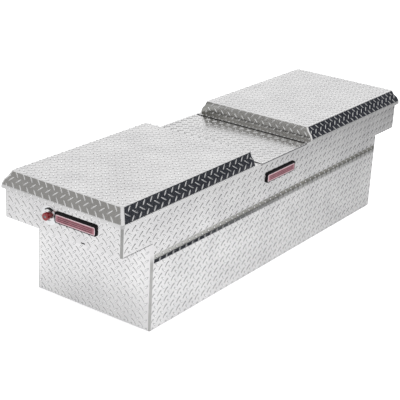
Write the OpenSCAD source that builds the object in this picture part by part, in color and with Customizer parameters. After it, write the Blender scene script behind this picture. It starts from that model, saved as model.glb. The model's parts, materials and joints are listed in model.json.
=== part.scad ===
// Cross-bed truck tool box: a tread-plate tub with a wing at each end that rests on the bed rails,
// and two lids hinged at a fixed centre panel. Left is -X, the front is -Y.

/* [Overall] */
// Length over both lids
overall_l = 1816; // [1700:1:1900]
// Depth over the lids, front to back
overall_d = 514; // [480:1:560]
// Height from the tub floor to the lid tops
overall_h = 470; // [460:1:500]
// Length of the tub that drops between the bed rails
tub_l = 1490; // [1400:1:1560]
// Height of the wing undersides, which rest on the bed rails
wing_z = 310; // [290:1:312]

/* [Sheet metal] */
// Thickness of the tread plate
sheet = 2; // [1.6:0.1:2.4]
// Outside radius of the upright corner bends
bend_r = 8; // [6:1:14]
// How far the rim flange reaches inwards from the wall
rim_w = 36; // [34:1:38]
// Height of the lip that hangs from the rim flange
rim_lip = 12; // [8:1:16]
// Height above the floor where the pressed groove of the long walls starts
groove_z = 239; // [180:1:245]
// Depth of the pressed groove
groove_depth = 6.4; // [4:0.1:9]
// Height of the groove's lower flank
groove_low = 8.4; // [6:0.1:12]
// Height of the groove's upper flank
groove_high = 22; // [16:0.5:30]

/* [Lids] */
// How far a lid overhangs the body walls
lid_lip = 12; // [10:1:16]
// Height of a lid from its top to the bottom of its skirt
lid_drop = 57; // [55:0.1:60]
// Width of the rolled shoulder round a lid's outer edges
shoulder_w = 25.4; // [22:0.1:27]
// Distance from the middle of the box to each hinge axis
hinge_x = 152; // [140:1:160]
// Distance from the middle of the box to each lid's raised inner wall
lid_wall_x = 197; // [190:1:200]
// Depth of the liner pan inside a lid
liner_depth = 42; // [40:0.5:43]
// Thickness of the liner sheet
liner_t = 1.5; // [1.2:0.1:2]

/* [Hinges] */
// Radius of the hinge pin
pin_r = 1.6; // [1.4:0.1:1.8]
// Outside radius of the hinge knuckles
knuckle_r = 3.2; // [3:0.1:3.3]
// Number of knuckles along each hinge
knuckles = 16; // [8:2:24]

/* [Gas springs] */
// Radius of the gas spring's tube
tube_r = 9; // [8:0.5:10]
// Radius of the gas spring's rod
rod_r = 4; // [3:0.5:5]
// Distance from the middle plane to the gas spring
strut_y = 196; // [190:1:197]

/* [Locks and latches] */
// How far behind the middle the lock sits
lock_y = 50; // [46:1:60]
// Height of the lock
lock_z = 370; // [368:1:374]
// Radius of the push button
button_r = 13; // [12:0.5:15]
// Swing of the latch hook
hook_swing = 25; // [20:1:28]

/* [Badges] */
// Length of an end badge
badge_l = 172; // [150:1:190]
// Length of the front badge
front_badge_l = 188; // [150:1:200]
// Height of a badge
badge_h = 38; // [34:1:40]
// Width of the badge's black frame
badge_frame = 7; // [4:0.5:8]

/* [Mounting] */
// Radius of the hold-down bolt holes in the wing floors
bolt_r = 5.5; // [4:0.5:7]
// Spacing of the two hold-down bolt holes in each wing floor
bolt_spacing = 300; // [200:5:360]

/* [Hidden] */
$fn = 48;
body_l = overall_l - 2 * lid_lip;
body_d = overall_d - 2 * lid_lip;
hx = body_l / 2;
hy = body_d / 2;
tx = tub_l / 2;
panel_z = overall_h - 49;
rim_z = overall_h - 54;
wall_z = rim_z - sheet;
hinge_z = panel_z - 1;
leaf_t = 1.5;
leaf_z = panel_z - sheet - leaf_t;
panel_edge = hinge_x - 4;
lid_edge = hinge_x + 4;
liner_z = overall_h - sheet - liner_depth;
liner_x0 = lid_wall_x + sheet + 2;
liner_x1 = overall_l / 2 - shoulder_w - 5.6;
liner_y = overall_d / 2 - shoulder_w - 5.6;
seal_w = 12;
seal_gap = 0.3;
panel_lip = 10;
beam_x0 = hinge_x - 42;
beam_x1 = liner_x0 + seal_w + 3;
beam_h = 42;
running = 0.05;
overlap = 1;

// Shoulder outline of a lid: outward and downward, as shares of its width and of the lid's height
SHOULDER = [[0, 0], [0.25, 0.267], [0.72, 0.512], [0.95, 0.779], [1, 1]];

// Gas spring geometry in the plane of its swing, for the closed lid
strut_foot = [280, 150];
strut_head = [320, overall_h - 62];
strut_vec = strut_head - strut_foot;
strut_l = norm(strut_vec);
strut_tilt = atan2(strut_vec[0], strut_vec[1]);
tube_top = strut_l - 46;
tube_bore = tube_r - 1.5;
eye_r = 8;
eye_w = 10;
stud_r = 4;
stud_plate = 3;

// Lock and push button, measured from the lock's axis and outwards from the end wall
plate_r = 32;
plate_edge = 1.2;
collar_r = 22;
collar_t = 4;
recess_r = 18;
recess_floor = 1.5;
sleeve_r = 16;
sleeve_l = 10;
stem_r = 8;
nut_r = 21;
nut_t = 6;
button_back = 8.5;
button_face = 22;
button_bevel = 2;
rod_end = -14.5;
rod_tip_r = 5;
key_r = 4.5;

// Drain slot at the foot of an upper end wall: its middle, length and height
drain_y = -90;
drain_l = 16;
drain_h = 4;

// Latch geometry
case_x0 = hx - 66;
case_w = 14;
case_t = 2;
case_z0 = wing_z + 14;
case_z1 = wing_z + 88;
hook_pivot = [lock_y - 24, overall_h - 118];
bar_z = hook_pivot[1] + 36;
bar_r = 4;
lever_x = hx - 24;
lever_z = lock_z - 27;
lever_pin_r = 3;
ear_gap = 8;

// Badges: how far back an end badge reaches, how far the front one is below the panel, the front
// one's place along the wall, an end one's height above the lock, thicknesses and corner radii
badge_end = 25;
badge_drop = 69;
badge_x = -7;
badge_rise = 3;
frame_t = 3;
plate_t = 5;
badge_round = 6;
plate_round = 3;

// ---- shared shapes ----

// Keeps the right side as drawn, or mirrors it to the left
module left() {
    mirror([1, 0, 0]) children();
}

// A box between two opposite corners
module block(low, high) {
    translate(low) cube(high - low);
}

// Extrudes an outline drawn in (y, z) from x0 to x1
module along_x(x0, x1) {
    translate([x0, 0, 0]) rotate([90, 0, 90]) linear_extrude(x1 - x0) children();
}

// Extrudes an outline drawn in (x, z) from y0 to y1
module along_y(y0, y1) {
    translate([0, y1, 0]) rotate([90, 0, 0]) linear_extrude(y1 - y0) children();
}

// A round bar along X
module round_x(r, x0, x1) {
    translate([x0, 0, 0]) rotate([0, 90, 0]) cylinder(r = r, h = x1 - x0);
}

// A round bar along Y
module round_y(r, y0, y1) {
    translate([0, y1, 0]) rotate([90, 0, 0]) cylinder(r = r, h = y1 - y0);
}

// Rectangle with round corners
module rounded(l, d, r) {
    square([l - 2 * r, d], center = true);
    square([l, d - 2 * r], center = true);
    for (x = [-1, 1], y = [-1, 1])
        translate([x * (l / 2 - r), y * (d / 2 - r)]) circle(r);
}

// Upright wall ring with bent corners
module ring(l, z0, z1) {
    translate([0, 0, z0]) linear_extrude(z1 - z0) difference() {
        rounded(l, body_d, bend_r);
        rounded(l - 2 * sheet, body_d - 2 * sheet, bend_r - sheet);
    }
}

// ---- tub walls ----

// Section of a long wall's lower part, with the pressed groove
module groove_section() {
    z = [0, groove_z, groove_z + groove_low, groove_z + groove_low + groove_high, wing_z];
    y = [0, 0, groove_depth, 0, 0];
    polygon([
        for (i = [0:4]) [y[i] - hy, z[i]],
        for (i = [4:-1:0]) [y[i] - hy + sheet, z[i]]
    ]);
}

// Closes the end of the pressed groove
module groove_end() {
    polygon([
        [-hy, groove_z],
        [-hy + groove_depth + sheet, groove_z + groove_low],
        [-hy, groove_z + groove_low + groove_high]
    ]);
}

// One long wall: grooved lower part, plain upper part as long as the body, and its bent corners
module long_wall() {
    flat = tx - bend_r;
    along_x(-flat, flat) groove_section();
    for (x = [-flat, flat - sheet]) along_x(x, x + sheet) groove_end();
    difference() {
        ring(tub_l, 0, wing_z + sheet);
        block([-flat, -hy - overlap, -overlap], [flat, hy, rim_z]);
        block([-tx - overlap, -hy + bend_r, -overlap], [tx + overlap, hy + overlap, rim_z]);
    }
    difference() {
        ring(body_l, wing_z, wall_z);
        block([-hx - overlap, -hy + bend_r, 0], [hx + overlap, hy + overlap, rim_z]);
    }
    block([-panel_edge, -hy, wall_z], [panel_edge, -hy + sheet, panel_z - sheet]);
}

module front_panel() {
    color("silver") long_wall();
}

module rear_panel() {
    color("silver") mirror([0, 1, 0]) long_wall();
}

module floor_pan() {
    color("silver") linear_extrude(sheet)
        rounded(tub_l - 2 * sheet, body_d - 2 * sheet, bend_r - sheet);
}

module lower_end() {
    y = hy - bend_r;
    color("silver") block([tx - sheet, -y, 0], [tx, y, wing_z + sheet]);
}

// The shelf that rests on the bed rail, with its two hold-down holes
module wing_floor() {
    color("silver") translate([0, 0, wing_z]) difference() {
        linear_extrude(sheet) difference() {
            rounded(body_l - 2 * sheet, body_d - 2 * sheet, bend_r - sheet);
            rounded(tub_l, body_d, bend_r);
            translate([-hx, -hy]) square([hx, body_d]);
        }
        for (y = [-1, 1])
            translate([(tx + hx) / 2, y * bolt_spacing / 2, -overlap])
                cylinder(r = bolt_r, h = sheet + 2 * overlap);
    }
}

// Upper end wall, with the lock's hole and a small drain slot at its foot
module upper_end() {
    y = hy - bend_r;
    slot_z = wing_z + sheet + 1;
    color("silver") difference() {
        block([hx - sheet, -y, wing_z], [hx, y, wall_z]);
        at_lock() round_x(sleeve_r + 2 * running, -sheet - overlap, overlap);
        block([hx - sheet - overlap, drain_y - drain_l / 2, slot_z],
              [hx + overlap, drain_y + drain_l / 2, slot_z + drain_h]);
    }
}

// ---- rim, centre panel and hinge beams ----

// Rim along one long wall: a flange on each side of the centre panel with a hanging lip
module long_rim() {
    y = -hy + rim_w;
    color("gainsboro") for (side = [0, 1]) mirror([side, 0, 0]) {
        intersection() {
            translate([0, 0, wall_z]) linear_extrude(sheet) rounded(body_l, body_d, bend_r);
            block([hinge_x, -hy, wall_z], [hx, y, rim_z]);
        }
        block([hinge_x, y - sheet, rim_z - rim_lip], [hx - rim_w, y, wall_z]);
    }
}

module front_rim() {
    long_rim();
}

module rear_rim() {
    mirror([0, 1, 0]) long_rim();
}

module end_rim() {
    y = hy - rim_w;
    color("gainsboro") {
        block([hx - rim_w, -y, wall_z], [hx, y, rim_z]);
        block([hx - rim_w, -y, rim_z - rim_lip], [hx - rim_w + sheet, y, wall_z]);
    }
}

// Fixed panel between the lids; its front and rear edges turn down over the walls
module centre_panel() {
    y = overall_d / 2;
    color("silver") {
        block([-panel_edge, -y, panel_z - sheet], [panel_edge, y, panel_z]);
        for (side = [0, 1]) mirror([0, side, 0])
            block([-panel_edge, -y, panel_z - panel_lip], [panel_edge, -y + sheet, panel_z]);
    }
}

// Cross beam under a hinge: a box tube, and a flange that carries the seal
module hinge_beam() {
    y = hy - rim_w;
    z = leaf_z - beam_h;
    color("gainsboro") {
        difference() {
            block([beam_x0, -hy + sheet, z], [hinge_x - 2, hy - sheet, leaf_z]);
            block([beam_x0 + sheet, -hy, z + sheet], [hinge_x - 2 - sheet, hy, leaf_z - sheet]);
        }
        block([hinge_x - 2, -y, wall_z], [beam_x1, y, rim_z]);
        block([beam_x1 - sheet, -y, rim_z - rim_lip], [beam_x1, y, wall_z]);
    }
}

// Bulb seal round one opening
module seal() {
    x0 = liner_x0 + 1;
    x1 = liner_x1 - 2;
    y = liner_y - 2;
    color("dimgray") difference() {
        block([x0, -y, rim_z], [x1, y, liner_z - seal_gap]);
        block([x0 + seal_w, -y + seal_w, rim_z - overlap], [x1 - seal_w, y - seal_w, liner_z]);
    }
}

// ---- hinges ----

// One leaf of a piano hinge. first is 0 or 1 and picks every other knuckle.
module hinge_leaf(edge, far, first) {
    pitch = 2 * (hy - 2) / knuckles;
    gap = 0.5;
    tab_x = [min(edge, hinge_x), max(edge, hinge_x)];
    color("darkgray") difference() {
        union() {
            block([min(edge, far), -hy + 2, leaf_z], [max(edge, far), hy - 2, leaf_z + leaf_t]);
            for (i = [first:2:knuckles - 1]) {
                y0 = -hy + 2 + i * pitch + gap / 2;
                y1 = y0 + pitch - gap;
                block([tab_x[0], y0, leaf_z], [tab_x[1], y1, leaf_z + leaf_t]);
                translate([hinge_x, 0, hinge_z]) round_y(knuckle_r, y0, y1);
            }
        }
        translate([hinge_x, 0, hinge_z]) round_y(pin_r + running, -hy, hy);
    }
}

module fixed_leaf() {
    hinge_leaf(panel_edge, panel_edge - 22, 0);
}

module lid_leaf() {
    hinge_leaf(lid_edge, lid_edge + 30, 1);
}

module hinge_pin() {
    color("gray") translate([hinge_x, 0, hinge_z]) round_y(pin_r, -hy + 1, hy - 1);
}

// ---- lids ----

// One side of a lid's outline, from its top to the foot of its skirt
function shoulder(reach, inset) = [
    for (p = SHOULDER)
        [reach - shoulder_w + p[0] * shoulder_w - inset, overall_h - p[1] * lid_drop - inset]
];

// Solid lid form; an inset gives the space inside the sheet
module lid_form(inset) {
    side = shoulder(overall_d / 2, inset);
    end = shoulder(overall_l / 2, inset);
    foot = overall_h - lid_drop - inset;
    x0 = lid_wall_x + inset;
    intersection() {
        along_x(x0, overall_l / 2)
            polygon([for (p = side) p, for (i = [len(side) - 1:-1:0]) [-side[i][0], side[i][1]]]);
        along_y(-overall_d / 2, overall_d / 2)
            polygon([for (p = end) p, [x0, foot], [x0, overall_h - inset]]);
    }
}

module lid_skin() {
    color("silver") {
        difference() {
            lid_form(0);
            lid_form(sheet);
            block([lid_wall_x - overlap, -hy - lid_lip + sheet, 0],
                  [lid_wall_x + sheet + overlap, hy + lid_lip - sheet, panel_z - sheet]);
        }
        block([lid_edge, -hy, panel_z - sheet], [lid_wall_x + sheet, hy, panel_z]);
    }
}

module lid_liner() {
    color("gainsboro") difference() {
        block([liner_x0, -liner_y, liner_z], [liner_x1, liner_y, overall_h - sheet]);
        block([liner_x0 + liner_t, -liner_y + liner_t, liner_z + liner_t],
              [liner_x1 - liner_t, liner_y - liner_t, overall_h]);
    }
}

// Channels between the skin and the liner
module lid_stiffeners() {
    count = 3;
    w = 40;
    y = liner_y - liner_t - 1;
    z0 = liner_z + liner_t;
    z1 = overall_h - sheet;
    color("gainsboro") for (i = [1:count]) {
        x = liner_x0 + (liner_x1 - liner_x0) * i / (count + 1);
        difference() {
            block([x - w / 2, -y, z0], [x + w / 2, y, z1]);
            block([x - w / 2 + liner_t, -y - overlap, z0 - overlap],
                  [x + w / 2 - liner_t, y + overlap, z1 - liner_t]);
        }
    }
}

// U-shaped striker under the liner
module striker() {
    x0 = case_x0 - 7;
    x1 = case_x0 + case_w + 7;
    color("gray") {
        translate([0, lock_y, bar_z]) {
            round_x(bar_r, x0, x1);
            for (x = [x0, x1]) translate([x, 0, 0]) {
                sphere(bar_r);
                cylinder(r = bar_r, h = liner_z - bar_z - 1);
            }
        }
        block([x0 - 8, lock_y - 14, liner_z - 3], [x1 + 8, lock_y + 14, liner_z]);
    }
}

// Bracket under the liner with the stud for the gas spring
module lid_bracket() {
    y1 = strut_y - eye_w / 2 - 3;
    half = 14;
    color("gray") {
        block([strut_head[0] - half, y1 - 24, liner_z - stud_plate], [strut_head[0] + half, y1, liner_z]);
        block([strut_head[0] - half, y1 - stud_plate, strut_head[1] - 12],
              [strut_head[0] + half, y1, liner_z]);
        translate([strut_head[0], 0, strut_head[1]]) round_y(stud_r, y1 - 1, y1 + 2);
    }
}

// ---- gas springs ----

module at_strut() {
    translate([strut_foot[0], strut_y, strut_foot[1]]) rotate([0, strut_tilt, 0]) children();
}

// Flat eye with a bore, across the spring's axis
module eye(bore) {
    difference() {
        union() {
            round_y(eye_r, -eye_w / 2, eye_w / 2);
            children();
        }
        round_y(bore, -eye_w, eye_w);
    }
}

module gas_tube() {
    color("dimgray") at_strut() {
        eye(stud_r + running) translate([-5, -eye_w / 2, 0]) cube([10, eye_w, 14]);
        difference() {
            translate([0, 0, 12]) cylinder(r = tube_r, h = tube_top - 12);
            translate([0, 0, 15]) cylinder(r = tube_bore, h = tube_top - 23);
            translate([0, 0, 15]) cylinder(r = rod_r + running, h = tube_top);
        }
    }
}

module gas_rod() {
    color("lightgray") at_strut() {
        translate([0, 0, 18]) cylinder(r = rod_r, h = strut_l - 24);
        translate([0, 0, 17]) cylinder(r = tube_bore - running, h = 8);
        translate([0, 0, strut_l]) eye(stud_r + running)
            translate([-5, -eye_w / 2, -14]) cube([10, eye_w, 14]);
    }
}

// Bracket on the rear wall with the stud that the tube turns on
module strut_bracket() {
    y0 = strut_y + eye_w / 2 + 2;
    half = 22;
    color("gray") {
        block([strut_foot[0] - half, hy - sheet - stud_plate, strut_foot[1] - half],
              [strut_foot[0] + half, hy - sheet, strut_foot[1] + half]);
        translate([strut_foot[0], 0, strut_foot[1]]) {
            round_y(10, y0, hy - sheet - 2);
            round_y(stud_r, strut_y - eye_w / 2 - 2, y0 + 1);
        }
    }
}

// ---- latches ----

// Two side plates with the hook between them, on a foot that reaches the end wall
module latch_case() {
    y0 = lock_y - 36;
    y1 = lock_y + 20;
    mouth = bar_r + 2;
    ear_w = 12;
    color("darkgray") {
        difference() {
            for (x = [case_x0, case_x0 + case_w - case_t])
                block([x, y0, case_z0], [x + case_t, y1, case_z1]);
            block([case_x0 - overlap, lock_y - mouth, bar_z - mouth],
                  [case_x0 + case_w + overlap, lock_y + mouth, case_z1 + overlap]);
        }
        block([case_x0, y0, case_z0], [hx - sheet, y1, case_z0 + case_t]);
        block([hx - sheet - case_t, y0, case_z0], [hx - sheet, y1, case_z0 + 20]);
        translate([0, hook_pivot[0], hook_pivot[1]]) round_x(stud_r, case_x0 + 1, case_x0 + case_w - 1);
        for (y = [-ear_gap - case_t, ear_gap])
            block([lever_x - ear_w / 2, lock_y + y, case_z0 + 1],
                  [lever_x + ear_w / 2, lock_y + y + case_t, lever_z + 7]);
        translate([lever_x, 0, lever_z]) round_y(lever_pin_r, lock_y - ear_gap - 1, lock_y + ear_gap + 1);
    }
}

// Hook in its released position; it swings over the striker's bar
module latch_hook() {
    t = 6;
    x0 = case_x0 + (case_w - t) / 2;
    color("slategray") translate([x0, hook_pivot[0], hook_pivot[1]]) rotate([hook_swing, 0, 0])
        difference() {
            union() {
                round_x(8, 0, t);
                along_x(0, t) polygon([
                    [-7, 0], [7, 0], [14, 32], [14, 40.5], [31, 40.5], [33, 44], [24, 50], [2, 50], [-5, 30]
                ]);
            }
            round_x(stud_r + running, -overlap, t + overlap);
        }
}

// Bell crank between the push button and the hook
module release_lever() {
    w = 5;
    color("slategray") translate([lever_x, lock_y, lever_z]) difference() {
        union() {
            round_y(2 * lever_pin_r, -w, w);
            block([-4, -w, 0], [4, w, 38]);
            block([-20, -w, -3], [0, w, 3]);
        }
        round_y(lever_pin_r + running, -w - overlap, w + overlap);
    }
}

// ---- locks ----

module at_lock() {
    translate([hx, lock_y, lock_z]) children();
}

// Escutcheon plate, cut back beside the badge, with a dished collar and the button's sleeve
module lock_housing() {
    color("whitesmoke") at_lock() difference() {
        union() {
            round_x(plate_r, 0, plate_edge);
            round_x(collar_r, 0, collar_t);
            round_x(sleeve_r, -sleeve_l, 1);
        }
        block([0, -plate_r, -plate_r], [collar_t + overlap, badge_end + 0.5 - lock_y, plate_r]);
        round_x(recess_r, recess_floor, collar_t + overlap);
        round_x(stem_r + running, -sleeve_l - overlap, collar_t);
    }
}

module lock_nut() {
    color("gray") at_lock() difference() {
        round_x(nut_r, -sheet - nut_t, -sheet);
        round_x(sleeve_r + running, -sheet - nut_t - overlap, 0);
    }
}

// Red button, its stem in the sleeve and the rod that reaches the lever
module lock_button() {
    bevel = button_bevel;
    color("firebrick") at_lock() difference() {
        union() {
            round_x(button_r, button_back, button_face - bevel);
            translate([button_face - bevel, 0, 0]) rotate([0, 90, 0])
                cylinder(r1 = button_r, r2 = button_r - bevel, h = bevel);
            round_x(stem_r, -1, button_back + 1);
            round_x(rod_tip_r, rod_end, 0);
            translate([rod_end, 0, 0]) sphere(rod_tip_r);
        }
        round_x(key_r + running, button_back + 3, button_face + overlap);
    }
}

// Key cylinder in the button's face
module key_cylinder() {
    slot = [0.8, 4];
    color("silver") at_lock() difference() {
        round_x(key_r, button_back + 3.2, button_face - 0.5);
        block([button_face - 6, -slot[0], -slot[1]], [button_face, slot[0], slot[1]]);
    }
}

// ---- badges ----

// Draws a badge part with its face outwards on the right end wall
module at_end_badge() {
    translate([hx, badge_end - badge_l / 2, lock_z + badge_rise]) rotate([90, 0, 90]) children();
}

// Draws a badge part with its face outwards on the front wall
module at_front_badge() {
    translate([badge_x, -hy, panel_z - badge_drop]) rotate([90, 0, 0]) children();
}

module badge_frame_form(l) {
    color("black") linear_extrude(frame_t) difference() {
        rounded(l, badge_h, badge_round);
        rounded(l - 2 * badge_frame, badge_h - 2 * badge_frame, plate_round);
    }
}

module badge_plate_form(l) {
    color("firebrick") linear_extrude(plate_t)
        rounded(l - 2 * badge_frame, badge_h - 2 * badge_frame, plate_round);
}

// ---- the assembly ----

front_panel();
rear_panel();
floor_pan();
front_rim();
rear_rim();
centre_panel();
left() lower_end();  // left_lower_end
lower_end();  // right_lower_end
left() wing_floor();  // left_wing_floor
wing_floor();  // right_wing_floor
left() upper_end();  // left_upper_end
upper_end();  // right_upper_end
left() end_rim();  // left_end_rim
end_rim();  // right_end_rim
left() hinge_beam();  // left_hinge_beam
hinge_beam();  // right_hinge_beam
left() seal();  // left_seal
seal();  // right_seal
left() fixed_leaf();  // left_fixed_leaf
fixed_leaf();  // right_fixed_leaf
left() lid_leaf();  // left_lid_leaf
lid_leaf();  // right_lid_leaf
left() hinge_pin();  // left_hinge_pin
hinge_pin();  // right_hinge_pin
left() lid_skin();  // left_lid_skin
lid_skin();  // right_lid_skin
left() lid_liner();  // left_lid_liner
lid_liner();  // right_lid_liner
left() lid_stiffeners();  // left_lid_stiffeners
lid_stiffeners();  // right_lid_stiffeners
left() striker();  // left_striker
striker();  // right_striker
left() latch_case();  // left_latch_case
latch_case();  // right_latch_case
left() latch_hook();  // left_latch_hook
latch_hook();  // right_latch_hook
left() release_lever();  // left_release_lever
release_lever();  // right_release_lever
left() lock_housing();  // left_lock_housing
lock_housing();  // right_lock_housing
left() lock_nut();  // left_lock_nut
lock_nut();  // right_lock_nut
left() lock_button();  // left_lock_button
lock_button();  // right_lock_button
left() key_cylinder();  // left_key_cylinder
key_cylinder();  // right_key_cylinder
left() gas_tube();  // left_gas_tube
gas_tube();  // right_gas_tube
left() gas_rod();  // left_gas_rod
gas_rod();  // right_gas_rod
left() strut_bracket();  // left_strut_bracket
strut_bracket();  // right_strut_bracket
left() lid_bracket();  // left_lid_bracket
lid_bracket();  // right_lid_bracket
at_front_badge() badge_frame_form(front_badge_l);  // front_badge_frame
at_front_badge() badge_plate_form(front_badge_l);  // front_badge_plate
left() at_end_badge() badge_frame_form(badge_l);  // left_badge_frame
left() at_end_badge() badge_plate_form(badge_l);  // left_badge_plate
at_end_badge() badge_frame_form(badge_l);  // right_badge_frame
at_end_badge() badge_plate_form(badge_l);  // right_badge_plate
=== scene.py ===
"""Looks for a cross-bed truck tool box in diamond tread plate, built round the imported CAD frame.

Lengths are metres. Left is -X, the front is -Y. Tread plate gets real raised lugs, laid out on each
sheet's flattened form and wrapped over its bends.
"""
import json
import math

import bmesh
import bpy
import numpy as np
from mathutils import Matrix, Vector

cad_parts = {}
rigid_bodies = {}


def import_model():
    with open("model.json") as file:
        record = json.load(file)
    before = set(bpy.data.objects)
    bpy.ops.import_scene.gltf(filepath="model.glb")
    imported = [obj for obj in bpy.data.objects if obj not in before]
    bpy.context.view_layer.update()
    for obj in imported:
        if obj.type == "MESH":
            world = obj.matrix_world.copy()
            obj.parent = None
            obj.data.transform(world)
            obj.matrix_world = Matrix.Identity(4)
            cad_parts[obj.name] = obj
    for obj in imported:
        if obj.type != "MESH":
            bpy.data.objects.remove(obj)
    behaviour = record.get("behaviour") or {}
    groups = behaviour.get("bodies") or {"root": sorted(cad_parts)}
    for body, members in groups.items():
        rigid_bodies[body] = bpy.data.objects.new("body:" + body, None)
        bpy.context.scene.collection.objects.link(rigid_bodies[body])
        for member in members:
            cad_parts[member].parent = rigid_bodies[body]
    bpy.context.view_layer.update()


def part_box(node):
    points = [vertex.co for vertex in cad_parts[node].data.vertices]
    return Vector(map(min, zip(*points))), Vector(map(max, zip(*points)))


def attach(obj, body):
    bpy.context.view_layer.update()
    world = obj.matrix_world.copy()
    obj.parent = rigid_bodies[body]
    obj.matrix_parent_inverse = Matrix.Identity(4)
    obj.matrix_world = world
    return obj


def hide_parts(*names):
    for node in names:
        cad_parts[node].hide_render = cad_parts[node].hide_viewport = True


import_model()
MM = 0.001


# ---- camera ----

# Turns in radians, place in metres, lens and sensor in millimetres
CAMERA_TURN = (0.9621, 0.3798, 0.0538)
CAMERA_PLACE = Vector((-3.2777, -2.1806, 1.7373))
CAMERA_LENS = 100.76
CAMERA_SENSOR = 36.0
CAMERA_REACH = 60


def make_camera():
    """The camera stands to the left of the front, above the lids, and looks down along the box."""
    yaw, pitch, roll = CAMERA_TURN
    forward = Vector((math.sin(yaw) * math.cos(pitch), math.cos(yaw) * math.cos(pitch), -math.sin(pitch)))
    level = Vector((math.cos(yaw), -math.sin(yaw), 0))
    upright = level.cross(forward)
    right = math.cos(roll) * level + math.sin(roll) * upright
    up = -math.sin(roll) * level + math.cos(roll) * upright
    data = bpy.data.cameras.new("camera")
    data.sensor_width = CAMERA_SENSOR
    data.lens = CAMERA_LENS
    data.clip_end = CAMERA_REACH
    camera = bpy.data.objects.new("camera", data)
    bpy.context.scene.collection.objects.link(camera)
    axes = Matrix((right, up, -forward)).transposed().to_4x4()
    camera.matrix_world = Matrix.Translation(CAMERA_PLACE) @ axes
    bpy.context.scene.camera = camera


make_camera()


# ---- sizes taken from the frame ----

def low(node):
    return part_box(node)[0]


def high(node):
    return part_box(node)[1]


# Known fault: this is the centre panel's whole height with its lips, 10 mm, where the
# CAD's sheet is 2 mm. What is made with it is too thick, and WALL_X stands 8 mm too near the middle.
SHEET = high("centre_panel").z - low("centre_panel").z
LID_L = high("right_lid_skin").x
LID_D = high("right_lid_skin").y
LID_TOP = high("right_lid_skin").z
LID_FOOT = low("right_lid_skin").z
LID_EDGE = low("right_lid_skin").x
BODY_L = high("right_upper_end").x
BODY_D = high("rear_panel").y
PANEL_Z = high("centre_panel").z
PANEL_X = high("centre_panel").x
WING_Z = low("right_wing_floor").z
TUB_L = high("right_lower_end").x
END_Y = high("right_upper_end").y
WALL_TOP = high("right_upper_end").z
BEND_R = BODY_D - END_Y
LINER_X = low("right_lid_liner").x
LINER_GAP = 2 * MM
WALL_X = LINER_X - SHEET - LINER_GAP
LOCK = (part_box("right_lock_nut")[0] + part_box("right_lock_nut")[1]) / 2
SHOULDER_W = 25.4 * MM
# Points down a lid's shoulder: (share of its width, share of the lid's height), and the rounds between them
SHOULDER = [(0, 0), (0.25, 0.267), (0.72, 0.512), (0.95, 0.779), (1, 1)]
SHOULDER_ROUNDS = [0, 4 * MM, 9 * MM, 9 * MM, 9 * MM, 0]
GROOVE_Z = 239 * MM
GROOVE_LOW = 8.4 * MM
GROOVE_HIGH = 22 * MM
GROOVE_DEPTH = 6.4 * MM
SKIRT = (1 - SHOULDER[3][1]) * (LID_TOP - LID_FOOT)
TOP_X = LID_L - SHOULDER_W
TOP_Y = LID_D - SHOULDER_W
FLAT_LEAD = 6 * MM
WALL_ROUND = 2.5 * MM
FOOT_ROUND = 2 * MM
INNER_ROUND = 7 * MM
OUTER_ROUND = 12 * MM
FLANGE_INSET = 3 * MM
FLANGE_Y = LID_D - FLANGE_INSET
PANEL_BEND = 3.5 * MM
PANEL_LIP = 10 * MM
CORNER_STEPS = 6
ARC_STEPS = 5
LONGEST_CUT = 0.45
TINY = 1e-6
SHARP_FOLD = math.radians(30)
SHARP_LOFT = math.radians(40)
PLATE_R = high("right_lock_housing").z - LOCK.z
DRAIN_Y = -90 * MM
DRAIN_L = 12 * MM
SIDES = {"left": -1, "right": 1}

# tread pattern
WALL_PITCH = (35 * MM, 30.5 * MM)
END_PITCH = (30.5 * MM, 30.5 * MM)
TOP_PITCH = (35.5 * MM, 31.5 * MM)
LUG_LENGTH = 25 * MM
LUG_WIDTH = 6.4 * MM
LUG_HEIGHT = 1.7 * MM
LUG_ROOT = 0.2 * MM
SHORTEST_LUG = 9 * MM
EDGE_ROW = 25.5 * MM
LUG_SIDES = 8
LUG_SAMPLES = 28
LUG_BLUNTNESS = 0.2
# (share of length, share of width, share of height) from the foot up; None is the root under the surface
LUG_RINGS = [(1.0, 1.0, None), (0.90, 0.60, 0.72), (0.72, 0.22, 1.0)]
EDGE = 2 * MM
BEND_SIDE = 0.12
EDGE_R = 1.1 * MM
EDGE_SIDES = 8
SLOPED = 0.1
LEVEL = 0.5
UPRIGHT = 0.9

# badges and locks
BADGE_DEPTH = 3 * MM
BADGE_ROUND = 7 * MM
BADGE_EASE = 1.5 * MM
BADGE_MIDDLE = (0.5 * MM, -2.2 * MM)
BORDER_MARGIN = (11 * MM, 12 * MM)
BORDER_ROUND = 4 * MM
BORDER_WIDTH = 2 * MM
BORDER_SINK = 1 * MM
BORDER_RISE = 0.8 * MM
PLATE_ROUND = 3 * MM
PLATE_RISE = 1.1 * MM
SLAB_EASE = 0.8 * MM
BADGE_RIBS = 3
BADGE_RIB_PITCH = 6 * MM
RIB_MARGIN = 16 * MM
RIB_HEIGHT = 2.6 * MM
RIB_ROUND = 1.2 * MM
RIB_FOOT = 0.5 * MM
RIB_RISE = 1.7 * MM
RIB_EASE = 0.5 * MM
# Painted shade: the black arc over each lock stands for the shade on the upper rim of its recess.
SHADE_ARC_OUTER = 24.5 * MM
SHADE_ARC_INNER = 21 * MM
SHADE_ARC_DEPTH = 6 * MM
SHADE_ARC_SPAN = 80
SHADE_ARC_STEPS = 12

# Dim parts of the studio: direction, the angles where the dimness ends and is full, and its tone
DIM_WALLS = [
    ((0.78, -0.55, 0.28), 42, 26, (0.031, 0.035, 0.046)),
    ((-0.70, 0.53, 0.46), 38, 22, (0.36, 0.355, 0.34)),
]

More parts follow.
